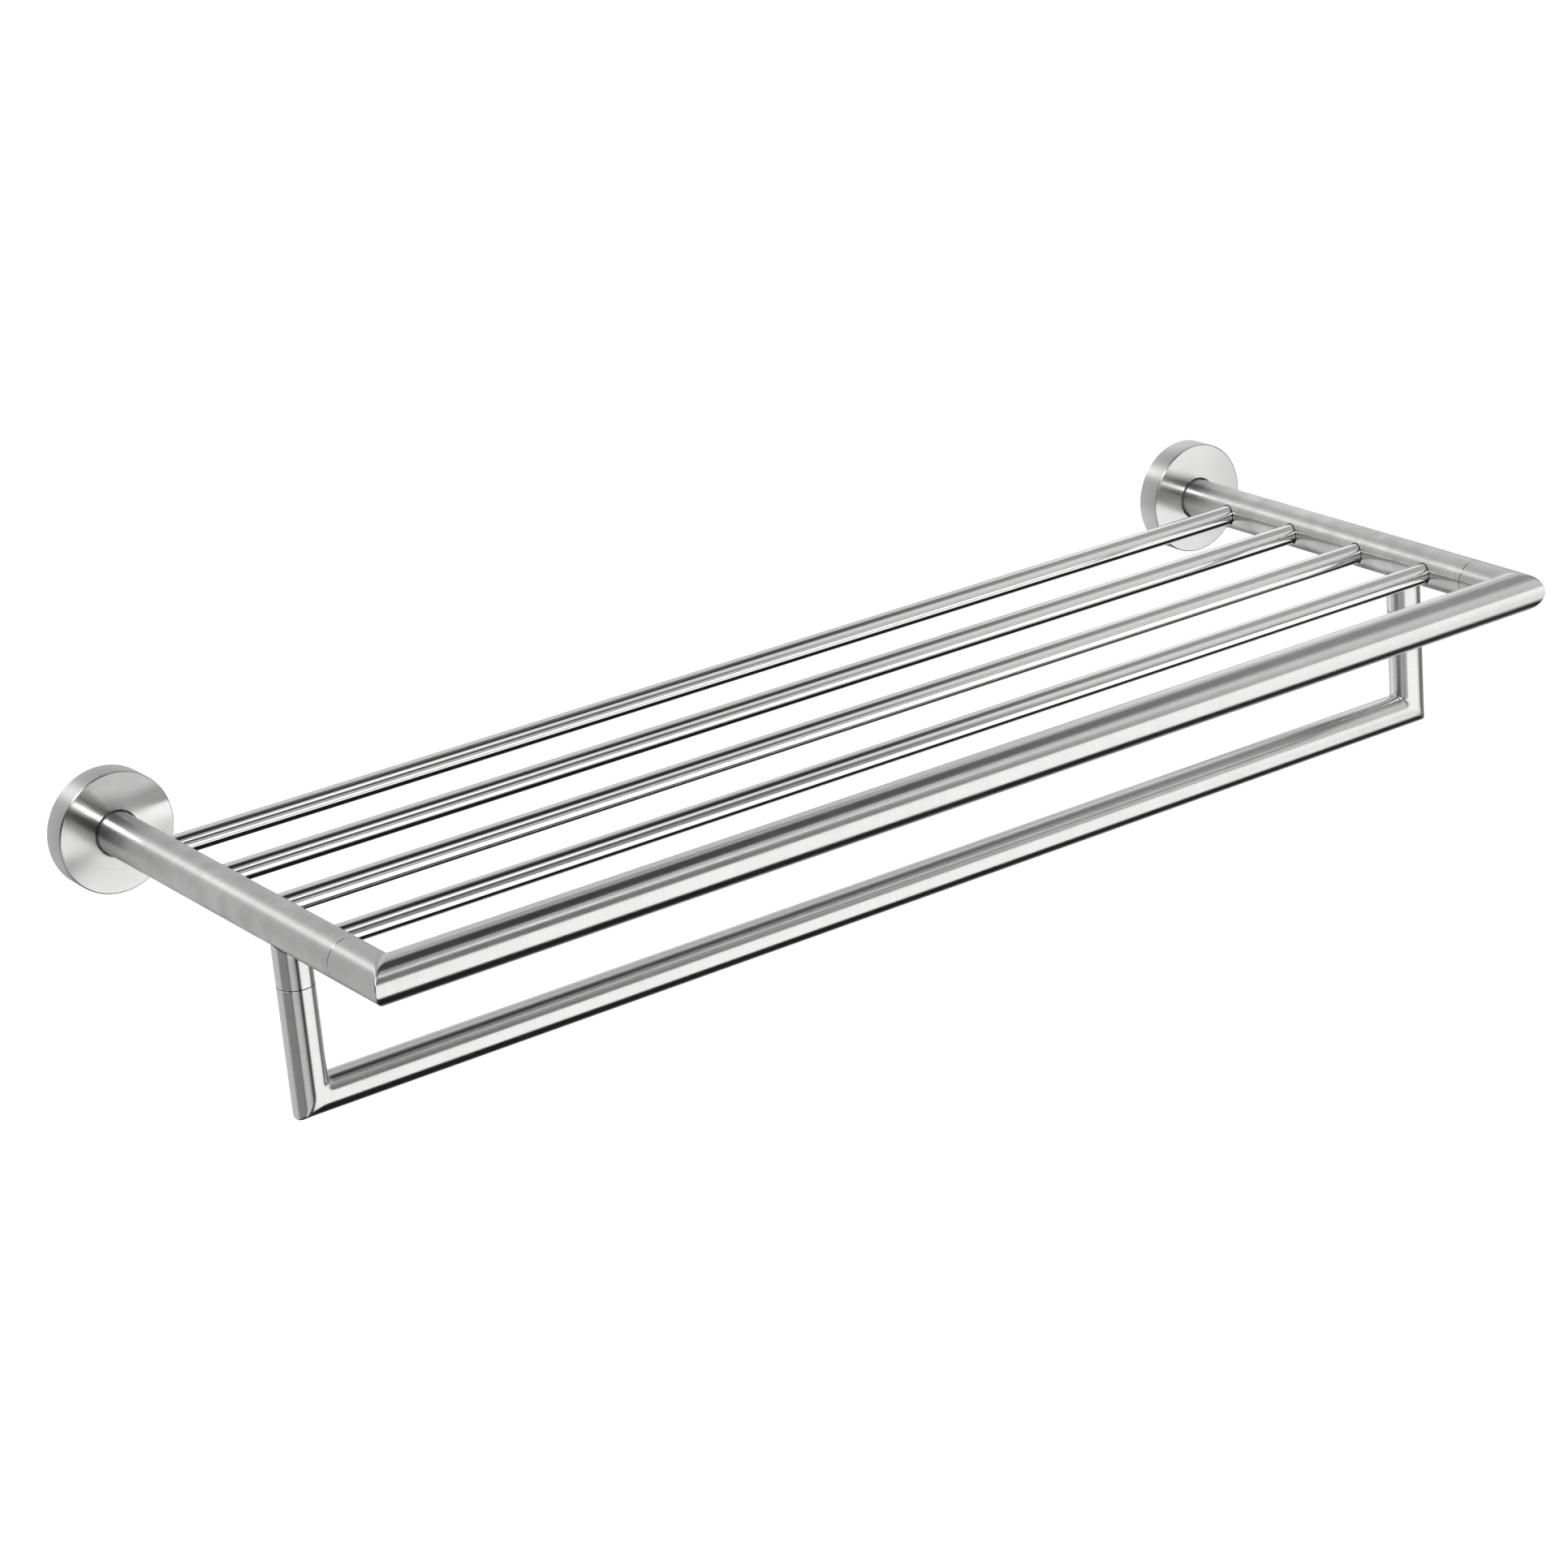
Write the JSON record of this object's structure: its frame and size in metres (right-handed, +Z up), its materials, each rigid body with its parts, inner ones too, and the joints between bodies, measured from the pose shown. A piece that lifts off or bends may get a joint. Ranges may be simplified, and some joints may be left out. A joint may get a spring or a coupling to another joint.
{
  "type": "towel rack",
  "caption": "Wall-mounted towel rack in brushed stainless tube: a shelf of thin bars between side arms on round rosettes, with a mitred front rail and a U-shaped towel rail hung below.",
  "frame": {"origin": "on the wall plane, midway between the wall plates, at the height of the arms' axes", "axes": "+X along the rails to the right as seen from the room, +Y into the wall, +Z up"},
  "size_m": [0.654, 0.242, 0.109],
  "materials": {
    "turned_rosette": "stainless steel, turned on the face and rim so that the grain runs in rings",
    "satin_arm": "satin stainless steel, fine grain round the tube",
    "satin_rail": "satin stainless steel, finer grain round the tube",
    "bright_bar": "finely polished stainless steel",
    "zinc_plated_steel": "bright zinc plate",
    "plain_steel": "as turned",
    "dark_screw": "darkened steel"
  },
  "bodies": {
    "root": {"left_wall_plate": "zinc_plated_steel", "right_wall_plate": "zinc_plated_steel", "left_rosette": "turned_rosette", "right_rosette": "turned_rosette", "left_rosette_screw": "dark_screw", "right_rosette_screw": "dark_screw", "left_arm_insert": "plain_steel", "right_arm_insert": "plain_steel", "left_arm_screw": "zinc_plated_steel", "right_arm_screw": "zinc_plated_steel", "left_arm": "satin_arm", "right_arm": "satin_arm", "shelf_bar_1": "bright_bar", "shelf_bar_2": "bright_bar", "shelf_bar_3": "bright_bar", "shelf_bar_4": "bright_bar", "front_rail": "satin_rail", "left_front_plug": "plain_steel", "right_front_plug": "plain_steel", "left_front_screw": "dark_screw", "right_front_screw": "dark_screw", "left_drop_stub": "satin_rail", "right_drop_stub": "satin_rail", "left_rail_plug": "plain_steel", "right_rail_plug": "plain_steel", "left_rail_screw": "dark_screw", "right_rail_screw": "dark_screw", "towel_rail": "satin_rail"}
  },
  "joints": []
}
